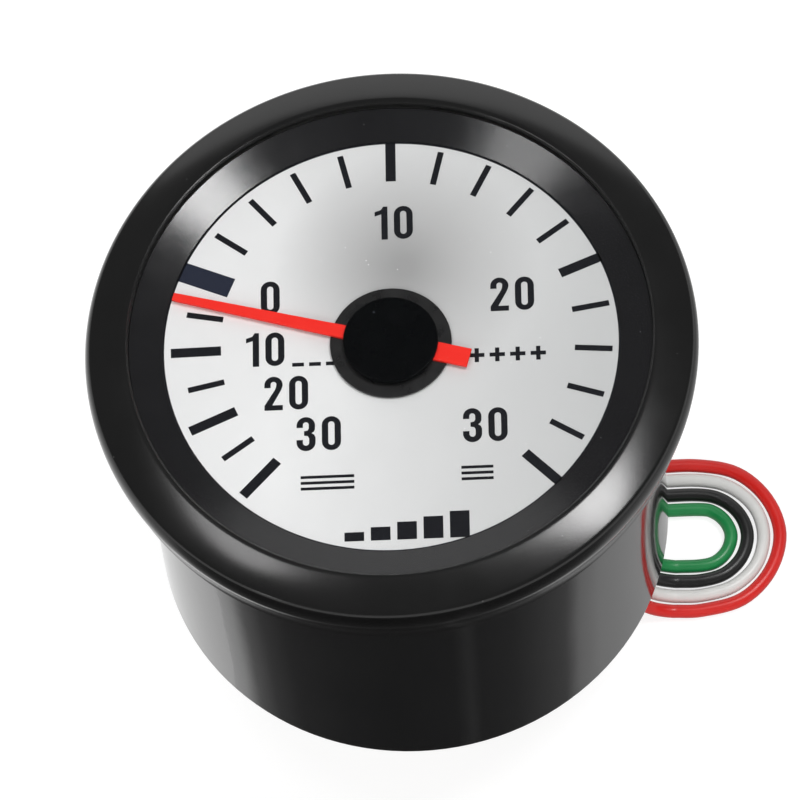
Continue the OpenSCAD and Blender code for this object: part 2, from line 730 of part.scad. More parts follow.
// stepped studs: a thicker root through the back wall and its nut, then the free end
module studs() {
    root_z = back_z - stud_nut_t - stud_root_l;
    color(steel) at_studs() turned([[0, 0], [stud_d / 2 - stud_bevel, 0], [stud_d / 2, stud_bevel],
        [stud_d / 2, root_z], [stud_root_r, root_z], [stud_root_r, floor_z],
        [stud_head_d / 2, floor_z], [stud_head_d / 2, floor_z + stud_head_t],
        [0, floor_z + stud_head_t]]);
}

module stud_nuts() {
    color(steel) at_studs() difference() {
        translate([0, 0, back_z - stud_nut_t])
            cylinder(h = stud_nut_t, d = stud_nut_flats / cos(30), $fn = 6);
        drill(2 * (stud_root_r + snug), back_z - stud_nut_t, back_z);
    }
}

// ring board under the dial
module lamp_board() {
    color([0.9, 0.9, 0.88]) difference() {
        rod((inner_r - board_gap) * 2, board_low, board_low + board_t);
        drill(board_hole_d, board_low, board_low + board_t);
        at_bosses() drill(screw_d + 2 * snug, board_low, board_low + board_t);
    }
}

module lamps() {
    color([0.95, 0.93, 0.75]) for (k = [0 : lamps - 1]) rotate(k * 360 / lamps)
        translate([lamp_r - lamp_l / 2, -lamp_w / 2, board_low + board_t]) cube([lamp_l, lamp_w, lamp_h]);
}

module grommet_outline(r) {
    hull() for (k = [0, len(routes) - 1])
        translate([routes[k][0][0], routes[k][0][1]]) circle(r = r, $fn = 32);
}

module grommet() {
    color(rubber) {
        translate([0, 0, grommet_z]) linear_extrude(grommet_t) grommet_outline(grommet_w / 2 + grommet_lip);
        translate([0, 0, back_z]) linear_extrude(back_wall) grommet_outline(grommet_w / 2 - snug);
        translate([0, 0, floor_z]) linear_extrude(grommet_top - floor_z)
            grommet_outline(grommet_w / 2 + grommet_lip);
    }
}

// straight run of the four leads from the grommet up to the board
module inner_leads() {
    color(rubber) for (path = routes) translate([path[0][0], path[0][1], 0])
        rod(lead_d, grommet_top, board_low);
}

function unit(v) = v / norm(v);
function along(path, k) = unit(path[min(k + 1, len(path) - 1)] - path[max(k - 1, 0)]);
// rings square to the path, turned by the same side direction all the way
function ring_at(path, k, r, sides) = let (t = along(path, k), side = unit(cross(t, [0, 1, 0.2])),
    up = cross(side, t)) [for (s = [0 : sides - 1]) let (a = 360 * s / sides)
        path[k] + r * (cos(a) * side + sin(a) * up)];

// a tube of straight-sided rings along a route, closed at both ends
module tube_along(path, d, sides) {
    n = len(path);
    pts = [for (k = [0 : n - 1]) each ring_at(path, k, d / 2, sides)];
    faces = concat([[for (s = [0 : sides - 1]) s]],
        [for (k = [0 : n - 2], s = [0 : sides - 1]) let (a = k * sides + s, b = k * sides + (s + 1) % sides)
            each [[a, a + sides, b], [b, a + sides, b + sides]]],
        [[for (s = [sides - 1 : -1 : 0]) (n - 1) * sides + s]]);
    polyhedron(points = pts, faces = faces, convexity = 6);
}

module lead_red() { color([0.75, 0.05, 0.06]) tube_along(route_red, lead_d, lead_sides); }
module lead_white() { color([0.85, 0.85, 0.83]) tube_along(route_white, lead_d, lead_sides); }
module lead_black() { color(rubber) tube_along(route_black, lead_d, lead_sides); }
module lead_green() { color([0.03, 0.4, 0.28]) tube_along(route_green, lead_d, lead_sides); }

// tinned bare ends, in line with the last run of each lead
module lead_ends() {
    color(steel) for (path = routes) translate(path[len(path) - 1]) rotate([0, -90, 0])
        cylinder(h = bare_l, d = bare_d);
}

housing();
bezel();
lens();
lens_gasket();
reflector_ring();
dial_plate();
pointer();
pointer_hub();
hub_cap();
arbor();
hairspring();
sector_gear();
sector_shaft();
link();
tube_tip();
bourdon_tube();
pressure_socket();
socket_nut();
socket_washer();
rear_plate();
front_plate();
plate_pillars();
plate_screws();
socket_screws();
studs();
stud_nuts();
lamp_board();
lamps();
board_screws();
grommet();
inner_leads();
lead_red();
lead_white();
lead_black();
lead_green();
lead_ends();
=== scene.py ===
"""Looks of the boost gauge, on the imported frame. Lengths are in metres, in the frame's own axes."""
import math

import bmesh
import bpy
from mathutils import Matrix, Vector


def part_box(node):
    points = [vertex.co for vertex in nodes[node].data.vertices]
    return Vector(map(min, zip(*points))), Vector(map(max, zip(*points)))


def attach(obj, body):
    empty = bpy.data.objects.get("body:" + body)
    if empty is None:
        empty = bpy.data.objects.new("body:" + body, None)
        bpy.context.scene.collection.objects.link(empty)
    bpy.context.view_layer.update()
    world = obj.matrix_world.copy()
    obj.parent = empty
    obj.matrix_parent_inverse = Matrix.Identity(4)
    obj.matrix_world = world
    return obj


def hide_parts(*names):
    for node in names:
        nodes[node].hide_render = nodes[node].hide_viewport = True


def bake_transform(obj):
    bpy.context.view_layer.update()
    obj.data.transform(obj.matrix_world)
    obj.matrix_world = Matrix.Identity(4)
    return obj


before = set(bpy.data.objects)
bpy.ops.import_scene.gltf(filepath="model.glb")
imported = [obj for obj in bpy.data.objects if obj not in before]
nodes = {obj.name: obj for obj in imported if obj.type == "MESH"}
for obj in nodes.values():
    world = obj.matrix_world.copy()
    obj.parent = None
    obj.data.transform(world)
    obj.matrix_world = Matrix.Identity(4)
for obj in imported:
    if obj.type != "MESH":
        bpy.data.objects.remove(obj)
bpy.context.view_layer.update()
scene = bpy.context.scene
MM = 0.001


# Camera: the fit of the photograph's outline, scale and dial edge
CAM_ELEVATION, CAM_AZIMUTH, CAM_ROLL = 63.311, 5.95, -7.62
CAM_DISTANCE, CAM_SHIFT_X, CAM_SHIFT_Y = 0.7, -0.000851, 0.005286
CAM_TARGET = Vector((0, 0, 0.055))
SENSOR, FOCAL_PX, PHOTO_PX = 36, 7172.0, 800


def camera():
    az, el, roll = (math.radians(a) for a in (CAM_AZIMUTH, CAM_ELEVATION, CAM_ROLL))
    right = Vector((math.cos(az), math.sin(az), 0))
    back = Vector((math.sin(az) * math.cos(el), -math.cos(az) * math.cos(el), math.sin(el)))
    up = back.cross(right)
    turned_right = math.cos(roll) * right + math.sin(roll) * up
    turned_up = -math.sin(roll) * right + math.cos(roll) * up
    turn = Matrix((turned_right, turned_up, back)).transposed()
    data = bpy.data.cameras.new("camera")
    data.sensor_width = SENSOR
    data.lens = FOCAL_PX * SENSOR / PHOTO_PX
    data.clip_start, data.clip_end = 0.05, 20
    eye = bpy.data.objects.new("camera", data)
    scene.collection.objects.link(eye)
    shift = Vector((CAM_SHIFT_X, CAM_SHIFT_Y, -CAM_DISTANCE))
    eye.matrix_world = Matrix.Translation(CAM_TARGET - turn @ shift) @ turn.to_4x4()
    scene.camera = eye


camera()


# Helpers for node materials
class Look:
    """One procedural material: a Principled shader and the nodes that feed it."""

    def __init__(self, name, rough, metallic=0.0, level=0.5):
        self.mat = bpy.data.materials.new(name)
        self.mat.use_nodes = True
        self.tree = self.mat.node_tree
        self.shader = self.tree.nodes["Principled BSDF"]
        self.shader.inputs["Roughness"].default_value = rough
        self.shader.inputs["Metallic"].default_value = metallic
        self.shader.inputs["Specular IOR Level"].default_value = level
        self.place = self.node("ShaderNodeTexCoord").outputs["Object"]
        self.last = None

    def node(self, kind, **settings):
        n = self.tree.nodes.new(kind)
        for key, value in settings.items():
            setattr(n, key, value)
        return n

    def link(self, a, b):
        self.tree.links.new(a, b)

    def stretch(self, scale):
        """The object's own coordinates, scaled along each axis, for grain that runs one way."""
        n = self.node("ShaderNodeMapping")
        n.inputs["Scale"].default_value = scale
        self.link(self.place, n.inputs["Vector"])
        return n.outputs["Vector"]

    def noise(self, size, detail=3.0, rough=0.5, place=None):
        """Noise with features of that size, in metres."""
        n = self.node("ShaderNodeTexNoise")
        n.inputs["Scale"].default_value = 1 / size
        n.inputs["Detail"].default_value = detail
        n.inputs["Roughness"].default_value = rough
        self.link(place or self.place, n.inputs["Vector"])
        return n.outputs["Fac"]

    def ramp(self, value, low, high, out_low=0.0, out_high=1.0):
        n = self.node("ShaderNodeMapRange")
        n.inputs["From Min"].default_value = low
        n.inputs["From Max"].default_value = high
        n.inputs["To Min"].default_value = out_low
        n.inputs["To Max"].default_value = out_high
        self.link(value, n.inputs["Value"])
        return n.outputs["Result"]

    def specks(self, size, part):
        """1 in small round specks, one in some of the cells of that size, 0 elsewhere."""
        n = self.node("ShaderNodeTexVoronoi")
        n.inputs["Scale"].default_value = 1 / size
        self.link(self.place, n.inputs["Vector"])
        return self.ramp(n.outputs["Distance"], part * 0.6, part, 1.0, 0.0)

    def sum(self, a, b):
        n = self.node("ShaderNodeMath", operation="ADD")
        self.link(a, n.inputs[0])
        self.link(b, n.inputs[1])
        return n.outputs[0]

    def colour(self, value, low, high):
        """Mixes two colours by a value and feeds the base colour."""
        n = self.node("ShaderNodeMix", data_type="RGBA")
        n.inputs["A"].default_value = (*low, 1)
        n.inputs["B"].default_value = (*high, 1)
        self.link(value, n.inputs["Factor"])
        self.link(n.outputs["Result"], self.shader.inputs["Base Color"])
        self.last = n
        return self

    def over(self, value, top):
        """Lays another colour over the last mix where value is 1."""
        n = self.node("ShaderNodeMix", data_type="RGBA")
        self.link(self.last.outputs["Result"], n.inputs["A"])
        n.inputs["B"].default_value = (*top, 1)
        self.link(value, n.inputs["Factor"])
        self.link(n.outputs["Result"], self.shader.inputs["Base Color"])
        self.last = n
        return self

    def rough(self, value, low, high):
        """Roughness between two values, from a noise whose values lie round a half."""
        self.link(self.ramp(value, 0.3, 0.7, low, high), self.shader.inputs["Roughness"])
        return self

    def bump(self, value, depth, edge=0.0):
        """Relief of that depth in metres, on edges softened to that radius."""
        n = self.node("ShaderNodeBump")
        n.inputs["Distance"].default_value = depth
        n.inputs["Strength"].default_value = 1.0
        self.link(value, n.inputs["Height"])
        if edge:
            soft = self.node("ShaderNodeBevel", samples=4)
            soft.inputs["Radius"].default_value = edge
            self.link(soft.outputs["Normal"], n.inputs["Normal"])
        self.link(n.outputs["Normal"], self.shader.inputs["Normal"])
        return self


FACE_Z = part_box("dial_plate")[1].z
# Painted shade on the dial: where its greying runs from and to along X, and the middle, outer and inner
# radius of a darker patch above the hub
PAINTED_SHADE_FROM_X, PAINTED_SHADE_TO_X = -12 * MM, 20 * MM
PAINTED_SHADE_PATCH_AT, PAINTED_SHADE_PATCH_R, PAINTED_SHADE_PATCH_CORE_R = (1.5 * MM, 8.5 * MM), 13 * MM, 1 * MM


def looks():
    """Every material of the gauge, by name."""
    made = {}

    # Bezel: moulded black plastic with a satin gloss and a very fine grain
    m = Look("bezel_black", 0.17, level=0.5)
    cloud, grain = m.noise(6 * MM, 4), m.noise(0.12 * MM, 2)
    m.colour(cloud, (0.003, 0.003, 0.003), (0.006, 0.006, 0.006))
    m.over(m.specks(2.1 * MM, 0.025), (0.2, 0.2, 0.2))
    m.rough(cloud, 0.155, 0.19)
    made["bezel_black"] = m.bump(grain, 0.002 * MM, 0.12 * MM)

    # Case: the same plastic, polished in its mould, with faint handling marks
    m = Look("case_black", 0.08, level=0.8)
    cloud = m.noise(9 * MM, 3)
    marks = m.noise(0.5 * MM, 2, place=m.stretch((1, 1, 0.08)))
    m.colour(cloud, (0.004, 0.004, 0.0045), (0.008, 0.008, 0.008))
    m.rough(marks, 0.05, 0.1)
    made["case_black"] = m.bump(m.noise(1.6 * MM, 2), 0.004 * MM, 0.15 * MM)

    # Ring inside the lens: a little smoother than the bezel
    m = Look("ring_black", 0.15, level=0.5)
    cloud = m.noise(4 * MM, 3)
    m.colour(cloud, (0.004, 0.004, 0.005), (0.008, 0.008, 0.0095))
    m.over(m.specks(1.7 * MM, 0.03), (0.25, 0.25, 0.26))
    m.rough(cloud, 0.13, 0.165)
    made["ring_black"] = m.bump(m.noise(0.15 * MM, 2), 0.0015 * MM, 0.05 * MM)

    # Lens: thin clear plastic, with a little dust
    m = Look("lens_clear", 0.04)
    m.colour(m.noise(8 * MM, 2), (0.02, 0.02, 0.02), (0.04, 0.04, 0.04))
    m.over(m.specks(1.4 * MM, 0.03), (0.8, 0.8, 0.8))
    m.rough(m.noise(5 * MM, 3), 0.02, 0.06)
    m.shader.inputs["Alpha"].default_value = 0.04
    made["lens_clear"] = m.bump(m.noise(12 * MM, 1), 0.002 * MM)

    # Dial: silver paint on a thin plate, with fine flakes and a few bright specks. Painted shade makes
    # it greyer towards +X, and a soft patch of painted shade darkens it above the hub
    m = Look("dial_silver", 0.42, metallic=0.2)
    m.shader.inputs["Anisotropic"].default_value = 0.35
    turned = m.node("ShaderNodeTangent", direction_type="RADIAL", axis="Z")
    m.link(turned.outputs["Tangent"], m.shader.inputs["Tangent"])
    flake, cloud = m.noise(0.1 * MM, 2, 0.7), m.noise(7 * MM, 3)
    mixed = m.sum(m.ramp(flake, 0.35, 0.65, 0, 0.45), m.ramp(cloud, 0.3, 0.7, 0, 0.55))
    m.colour(mixed, (0.90, 0.905, 0.905), (0.97, 0.975, 0.975))
    # Painted shade: the silver greys towards +X
    across = m.node("ShaderNodeSeparateXYZ")
    m.link(m.place, across.inputs[0])
    m.over(m.ramp(across.outputs["X"], PAINTED_SHADE_FROM_X, PAINTED_SHADE_TO_X, 0, 0.85), (0.58, 0.59, 0.59))
    # Painted shade: a soft dark patch above the hub
    near = m.node("ShaderNodeVectorMath", operation="DISTANCE")
    m.link(m.place, near.inputs[0])
    near.inputs[1].default_value = (*PAINTED_SHADE_PATCH_AT, FACE_Z)
    m.over(m.ramp(near.outputs["Value"], PAINTED_SHADE_PATCH_R, PAINTED_SHADE_PATCH_CORE_R, 0, 0.95), (0.38, 0.38, 0.38))
    m.over(m.specks(1.3 * MM, 0.06), (0.95, 0.95, 0.95))
    m.rough(flake, 0.36, 0.5)
    made["dial_silver"] = m.bump(flake, 0.003 * MM)

    # Ink: screen-printed, nearly black. The same black paints the shadow ring at the dial's edge
    m = Look("ink_and_shadow_black", 0.45, level=0.1)
    m.colour(m.noise(0.4 * MM, 3), (0.005, 0.0055, 0.008), (0.012, 0.013, 0.017))
    m.rough(m.noise(0.2 * MM, 2), 0.35, 0.5)
    made["ink_and_shadow_black"] = m.bump(m.noise(0.08 * MM, 2), 0.002 * MM)
    m = Look("ink_navy", 0.45, level=0.15)
    m.colour(m.noise(0.5 * MM, 3), (0.014, 0.018, 0.035), (0.022, 0.028, 0.050))
    m.rough(m.noise(0.2 * MM, 2), 0.33, 0.48)
    made["ink_navy"] = m.bump(m.noise(0.08 * MM, 2), 0.002 * MM)

    # Pointer: bright red paint on a thin blade
    m = Look("pointer_red", 0.5, level=0.15)
    cloud = m.noise(1.5 * MM, 3)
    m.colour(cloud, (0.97, 0.022, 0.014), (1.0, 0.034, 0.022))
    m.over(m.specks(1.1 * MM, 0.05), (1.0, 0.16, 0.12))
    m.rough(cloud, 0.4, 0.5)
    made["pointer_red"] = m.bump(m.noise(0.1 * MM, 2), 0.002 * MM)

    # Hub disc and cap: smooth black plastic with settled dust
    m = Look("cap_black", 0.2, level=0.04)
    cloud = m.noise(2 * MM, 3)
    m.colour(cloud, (0.0005, 0.0008, 0.0012), (0.001, 0.0015, 0.002))
    m.over(m.specks(2.2 * MM, 0.06), (0.05, 0.055, 0.065))
    m.rough(cloud, 0.14, 0.24)
    made["cap_black"] = m.bump(m.noise(0.2 * MM, 2), 0.002 * MM, 0.08 * MM)
    m = Look("hub_black", 0.3, level=0.45)
    cloud = m.noise(1.5 * MM, 3)
    m.colour(cloud, (0.004, 0.004, 0.0045), (0.009, 0.009, 0.0095))
    m.over(m.specks(0.8 * MM, 0.05), (0.12, 0.12, 0.125))
    m.rough(cloud, 0.25, 0.36)
    made["hub_black"] = m.bump(m.noise(0.15 * MM, 2), 0.002 * MM, 0.05 * MM)

    # Turned brass with a slight tarnish and fine rings of tool marks
    m = Look("brass", 0.3, metallic=1.0)
    cloud, lines = m.noise(2.5 * MM, 4), m.noise(0.5 * MM, 2, place=m.stretch((0.2, 0.2, 6)))
    m.colour(cloud, (0.58, 0.40, 0.16), (0.74, 0.56, 0.27))
    m.rough(lines, 0.22, 0.38)
    made["brass"] = m.bump(lines, 0.004 * MM, 0.08 * MM)

    # Spring bronze: redder and smoother
    m = Look("spring_bronze", 0.28, metallic=1.0)
    cloud = m.noise(1.5 * MM, 4)
    m.colour(cloud, (0.52, 0.30, 0.15), (0.68, 0.43, 0.24))
    m.rough(cloud, 0.2, 0.36)
    made["spring_bronze"] = m.bump(m.noise(0.3 * MM, 2), 0.002 * MM, 0.03 * MM)

    # Ground steel and zinc-plated steel
    m = Look("steel", 0.3, metallic=1.0)
    lines = m.noise(0.4 * MM, 2, place=m.stretch((0.3, 0.3, 5)))
    m.colour(m.noise(2 * MM, 3), (0.46, 0.46, 0.47), (0.60, 0.60, 0.61))
    made["steel"] = m.rough(lines, 0.22, 0.38).bump(lines, 0.003 * MM, 0.06 * MM)
    m = Look("zinc_steel", 0.34, metallic=1.0)
    cloud = m.noise(1.2 * MM, 4)
    m.colour(cloud, (0.52, 0.53, 0.52), (0.66, 0.68, 0.70))
    m.rough(cloud, 0.26, 0.42)
    made["zinc_steel"] = m.bump(m.noise(0.4 * MM, 3), 0.004 * MM, 0.08 * MM)

    # Board: white solder mask over a faint weave of glass
    m = Look("board_white", 0.4)
    weave = m.noise(0.5 * MM, 1, place=m.stretch((1, 4, 1)))
    m.colour(weave, (0.72, 0.73, 0.70), (0.80, 0.81, 0.79))
    made["board_white"] = m.rough(weave, 0.34, 0.48).bump(weave, 0.004 * MM, 0.05 * MM)
    m = Look("lamp_clear", 0.15)
    m.colour(m.noise(1 * MM, 2), (0.80, 0.79, 0.66), (0.88, 0.86, 0.72))
    m.rough(m.noise(0.6 * MM, 2), 0.1, 0.22)
    made["lamp_clear"] = m.bump(m.noise(0.5 * MM, 2), 0.003 * MM, 0.1 * MM)

    # Rubber of the gasket and the grommet
    m = Look("black_rubber", 0.6, level=0.35)
    cloud = m.noise(1.2 * MM, 4)
    m.colour(cloud, (0.010, 0.010, 0.010), (0.022, 0.022, 0.021))
    m.rough(cloud, 0.5, 0.7)
    made["black_rubber"] = m.bump(m.noise(0.25 * MM, 4), 0.012 * MM, 0.1 * MM)

    # Insulation of the leads: soft vinyl with a faint unevenness, and their tinned strands
    for name, low, high in (
        ("lead_red", (0.66, 0.012, 0.010), (0.78, 0.022, 0.016)),
        ("lead_white", (0.74, 0.74, 0.72), (0.82, 0.82, 0.80)),
        ("lead_black", (0.008, 0.008, 0.008), (0.016, 0.016, 0.016)),
        ("lead_green", (0.010, 0.22, 0.060), (0.020, 0.30, 0.085)),
    ):
        m = Look(name, 0.35)
        cloud = m.noise(2 * MM, 4)
        m.colour(cloud, low, high)
        made[name] = m.rough(cloud, 0.28, 0.42).bump(m.noise(0.3 * MM, 3), 0.004 * MM)
    m = Look("tinned_copper", 0.32, metallic=1.0)
    cloud = m.noise(0.6 * MM, 3)
    m.colour(cloud, (0.56, 0.55, 0.53), (0.74, 0.73, 0.71))
    made["tinned_copper"] = m.rough(cloud, 0.24, 0.42).bump(m.noise(0.15 * MM, 2), 0.003 * MM)
    return {name: look.mat for name, look in made.items()}


LOOKS = looks()


def dress(obj, look):
    """Gives an object one of the looks as its only material."""
    obj.data.materials.clear()
    obj.data.materials.append(LOOKS[look])


# Edges sharper than this stay sharp, in degrees
PIECE_SHARP, NODE_SHARP = 40, 28


def shade_smooth(mesh, sharp):
    for polygon in mesh.polygons:
        polygon.use_smooth = True
    mesh.set_sharp_from_angle(angle=math.radians(sharp))


# Free leads: the routes of part.scad in millimetres, from the grommet to the bare ends.
# Each drops from the back wall and then lies on what the gauge stands on
LEAD_R = 0.7 * MM


def straight_run(y):
    """The last part of a lead's route, straight along -X under the gauge."""
    return [(x, y, 0.7) for x in (24, 18, 12, 6, 0, -6, -12)]


LEADS = {
    "red": [(21.9, -4.6, 14), (21.9, -4.6, 10), (22, -4.6, 5.8), (23.3, -4.6, 2.2),
            (26, -4.6, 0.7), (29, -4.6, 0.7), (33.2, -3.5, 0.7), (36.2, -0.4, 0.7),
            (37.4, 3.8, 0.7), (36.2, 7.9, 0.7), (33.2, 11, 0.7), (29, 12.1, 0.7),
            *straight_run(12.1)],
    "white": [(22.2, -2.9, 14), (22.2, -2.9, 10), (22.3, -2.9, 5.8), (23.6, -2.9, 2.2),
              (26.2, -2.9, 0.7), (29, -2.9, 0.7), (32.3, -2, 0.7), (34.8, 0.4, 0.7),
              (35.7, 3.8, 0.7), (34.8, 7.1, 0.7), (32.3, 9.5, 0.7), (29, 10.4, 0.7),
              *straight_run(10.4)],
    "black": [(22.4, -1.2, 14), (22.4, -1.2, 10), (22.5, -1.2, 5.8), (23.8, -1.2, 2.2),
              (26.4, -1.2, 0.7), (29, -1.2, 0.7), (31.5, -0.5, 0.7), (33.3, 1.3, 0.7),
              (34, 3.8, 0.7), (33.3, 6.2, 0.7), (31.5, 8, 0.7), (29, 8.7, 0.7),
              *straight_run(8.7)],
    "green": [(22.4, 0.5, 14), (22.4, 0.5, 10), (22.5, 0.5, 5.8), (23.8, 0.5, 2.2),
              (26.4, 0.5, 0.7), (29, 0.5, 0.7), (30.6, 0.9, 0.7), (31.8, 2.1, 0.7),
              (32.3, 3.8, 0.7), (31.8, 5.4, 0.7), (30.6, 6.6, 0.7), (29, 7, 0.7),
              *straight_run(7)],
}


def smooth_route(points, steps=6):
    """A smooth line through the points, with so many steps between two of them."""
    pts = [Vector(p) * MM for p in points]
    ends = [pts[0] * 2 - pts[1]] + pts + [pts[-1] * 2 - pts[-2]]
    line = []
    for a, b, c, d in zip(ends, ends[1:], ends[2:], ends[3:]):
        for i in range(steps):
            t = i / steps
            line.append(0.5 * (2 * b + (c - a) * t + (2 * a - 5 * b + 4 * c - d) * t * t
                               + (3 * b - a - 3 * c + d) * t * t * t))
    line.append(pts[-1])
    for p in line:
        p.z = max(p.z, LEAD_R)
    return line


def lead(name, points):
    """The insulated part of a lead, as a round curve along its route."""
    line = smooth_route(points)
    data = bpy.data.curves.new("free_lead_" + name, "CURVE")
    data.dimensions = "3D"
    data.bevel_depth = LEAD_R
    data.bevel_resolution = 6
    data.use_fill_caps = True
    spline = data.splines.new("POLY")
    spline.points.add(len(line) - 1)
    for point, co in zip(spline.points, line):
        point.co = (*co, 1)
    obj = bpy.data.objects.new("free_lead_" + name, data)
    scene.collection.objects.link(obj)
    obj.data.materials.append(LOOKS["lead_" + name])
    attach(obj, "case")
    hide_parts("lead_" + name)
    return obj


def piece(name, build, look):
    """A smooth mesh piece built in bmesh, with its material, on the case."""
    mesh = bpy.data.meshes.new(name)
    bm = bmesh.new()
    build(bm)
    bmesh.ops.recalc_face_normals(bm, faces=bm.faces)
    bm.to_mesh(mesh)
    bm.free()
    obj = bpy.data.objects.new(name, mesh)
    scene.collection.objects.link(obj)
    shade_smooth(mesh, PIECE_SHARP)
    mesh.materials.append(LOOKS[look])
    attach(obj, "case")
    return obj


def tube(bm, line, radius, sides=8):
    """A closed round tube along a line that keeps clear of the vertical."""
    rings = []
    for i, p in enumerate(line):
        along = (line[min(i + 1, len(line) - 1)] - line[max(i - 1, 0)]).normalized()
        side = along.cross(Vector((0, 0, 1))).normalized()
        up = side.cross(along)
        rings.append([bm.verts.new(p + radius * (math.cos(a) * side + math.sin(a) * up))
                      for a in (math.tau * k / sides for k in range(sides))])
    for a, b in zip(rings, rings[1:]):
        for k in range(sides):
            bm.faces.new((a[k], a[(k + 1) % sides], b[(k + 1) % sides], b[k]))
    bm.faces.new(rings[0][::-1])
    bm.faces.new(rings[-1])


# Bare ends: six tinned strands twisted round a seventh
END_R, STRAND_R, END_LENGTH, END_TURNS = 0.45 * MM, 0.15 * MM, 5 * MM, 0.8
END_STEPS, OUTER_STRANDS = 20, 6


def bare_end(name, tip):
    """The bare end of a lead, which goes on along -X from the last point of the lead's route."""
    def strands(bm):
        start = Vector(tip) * MM
        shares = [i / END_STEPS for i in range(END_STEPS + 1)]
        tube(bm, [start - Vector((END_LENGTH * t, 0, 0)) for t in shares], STRAND_R)
        for k in range(OUTER_STRANDS):
            line = []
            for t in shares:
                a = math.tau * (k / OUTER_STRANDS + END_TURNS * t)
                r = END_R - STRAND_R
                line.append(start + Vector((-END_LENGTH * t, r * math.cos(a), r * math.sin(a))))
            tube(bm, line, STRAND_R)
    obj = piece("bare_end_" + name, strands, "tinned_copper")
    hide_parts("lead_ends")
    return obj


for colour, points in LEADS.items():
    cord = lead(colour, points)
    end = bare_end(colour, points[-1])


# CAD nodes that stay as they are: smooth round faces and their own materials
NODE_LOOKS = {
    "housing": "case_black", "reflector_ring": "ring_black",
    "lens": "lens_clear", "lens_gasket": "black_rubber", "dial_plate": "dial_silver",
    "pointer": "pointer_red", "pointer_hub": "hub_black", "hub_cap": "cap_black",
    "arbor": "steel", "hairspring": "spring_bronze", "sector_gear": "brass",
    "sector_shaft": "steel", "link": "brass", "tube_tip": "brass", "bourdon_tube": "spring_bronze",
    "pressure_socket": "brass", "socket_nut": "brass", "socket_washer": "zinc_steel",
    "rear_plate": "brass", "front_plate": "brass", "plate_pillars": "brass",
    "plate_screws": "steel", "socket_screws": "steel", "studs": "zinc_steel", "stud_nuts": "zinc_steel",
    "lamp_board": "board_white", "lamps": "lamp_clear", "board_screws": "zinc_steel",
    "grommet": "black_rubber", "inner_leads": "lead_white",
}

for name, look in NODE_LOOKS.items():
    dress(nodes[name], look)
    shade_smooth(nodes[name].data, NODE_SHARP)


def bending_tube():
    obj = bpy.data.objects.new("bending_tube", nodes["bourdon_tube"].data.copy())
    scene.collection.objects.link(obj)
    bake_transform(obj)
    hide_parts("bourdon_tube")


bending_tube()


def ring_arc(cx, cy, r, start, stop, steps=10):
    """Points of an arc round (cx, cy), from one angle to another in degrees."""
    return [(cx + r * math.cos(math.radians(a)), cy + r * math.sin(math.radians(a)))
            for a in (start + (stop - start) * i / steps for i in range(steps + 1))]


# Bezel, in millimetres: its front face is flatter than the node's plain arc, from the crease out
# to a rounded edge. Crease, widest line, lip, window, lens seat and bore are those of part.scad
CREASE_R, CREASE_Z, BELT_R, BELT_Z = 25.85, 57.45, 30.0, 55.0
LIP_R, LIP_Z, BELT_LOW = 29.17, 50.4, 4.0
WINDOW_R, LENS_TOP, SEAT_R, SEAT_Z, BORE_R = 25.6, 57.25, 26.66, 56.4, 27.43
CREASE_ROUND, LAND_R = 0.12, 26.2
# Front face: its width, its slope at the inner edge, and how much steeper it gets per millimetre
FACE_W, FACE_TILT, FACE_BOW = 3.15, 0.19, 0.06
# Rounded edge: the half axes of its ellipse, and how far round it the face begins
EDGE_A, EDGE_B, EDGE_TURN = 0.801, 1.582, 79.13
LIP_CHAMFER, CROWN_OUT = 0.15, 0.35
LOW_STEPS, EDGE_STEPS, FACE_STEPS = 12, 16, 24


def bezel_profile():
    """Points (r, z) in millimetres, from the bore at the rear, up the outside and back down inside."""
    outside = [(BORE_R, LIP_Z), (LIP_R - LIP_CHAMFER, LIP_Z), (LIP_R, LIP_Z + LIP_CHAMFER)]
    crown = CREASE_R + CROWN_OUT
    stop = math.degrees(math.acos((LIP_R - crown) / (BELT_R - crown)))
    for k in range(LOW_STEPS, 0, -1):
        a = math.radians(stop * k / LOW_STEPS)
        outside.append((crown + (BELT_R - crown) * math.cos(a), BELT_Z - BELT_LOW * math.sin(a)))
    for k in range(EDGE_STEPS + 1):
        a = math.radians(EDGE_TURN * k / EDGE_STEPS)
        outside.append((BELT_R - EDGE_A + EDGE_A * math.cos(a), BELT_Z + EDGE_B * math.sin(a)))
    for k in range(1, FACE_STEPS + 1):
        x = FACE_W * (FACE_STEPS - k) / FACE_STEPS
        outside.append((LAND_R + x, CREASE_Z - FACE_TILT * x - FACE_BOW * x * x / 2))
    rounded = ring_arc(CREASE_R + 0.02, CREASE_Z - CREASE_ROUND, CREASE_ROUND, 80, 170, 6)
    inside = [(WINDOW_R + 0.04, CREASE_Z - 0.14), (WINDOW_R, LENS_TOP), (SEAT_R, LENS_TOP),
              (SEAT_R, SEAT_Z), (BORE_R, SEAT_Z)]
    return outside + rounded + inside


def lathe(bm, profile, steps=256):
    """A closed ring of revolution about the gauge's axis."""
    rings = []
    for k in range(steps):
        a = math.tau * k / steps
        rings.append([bm.verts.new((r * MM * math.cos(a), r * MM * math.sin(a), z * MM))
                      for r, z in profile])
    for a, b in zip(rings, rings[1:] + rings[:1]):
        for i in range(len(profile)):
            j = (i + 1) % len(profile)
            bm.faces.new((a[i], b[i], b[j], a[j]))


bezel = piece("bezel_ring", lambda bm: lathe(bm, bezel_profile()), "bezel_black")
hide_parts("bezel")


# Dial print: thin ink, in millimetres on the dial from the middle of the scale
SCALE_X, SCALE_Y = 0.24, 0.23
INK = 0.02


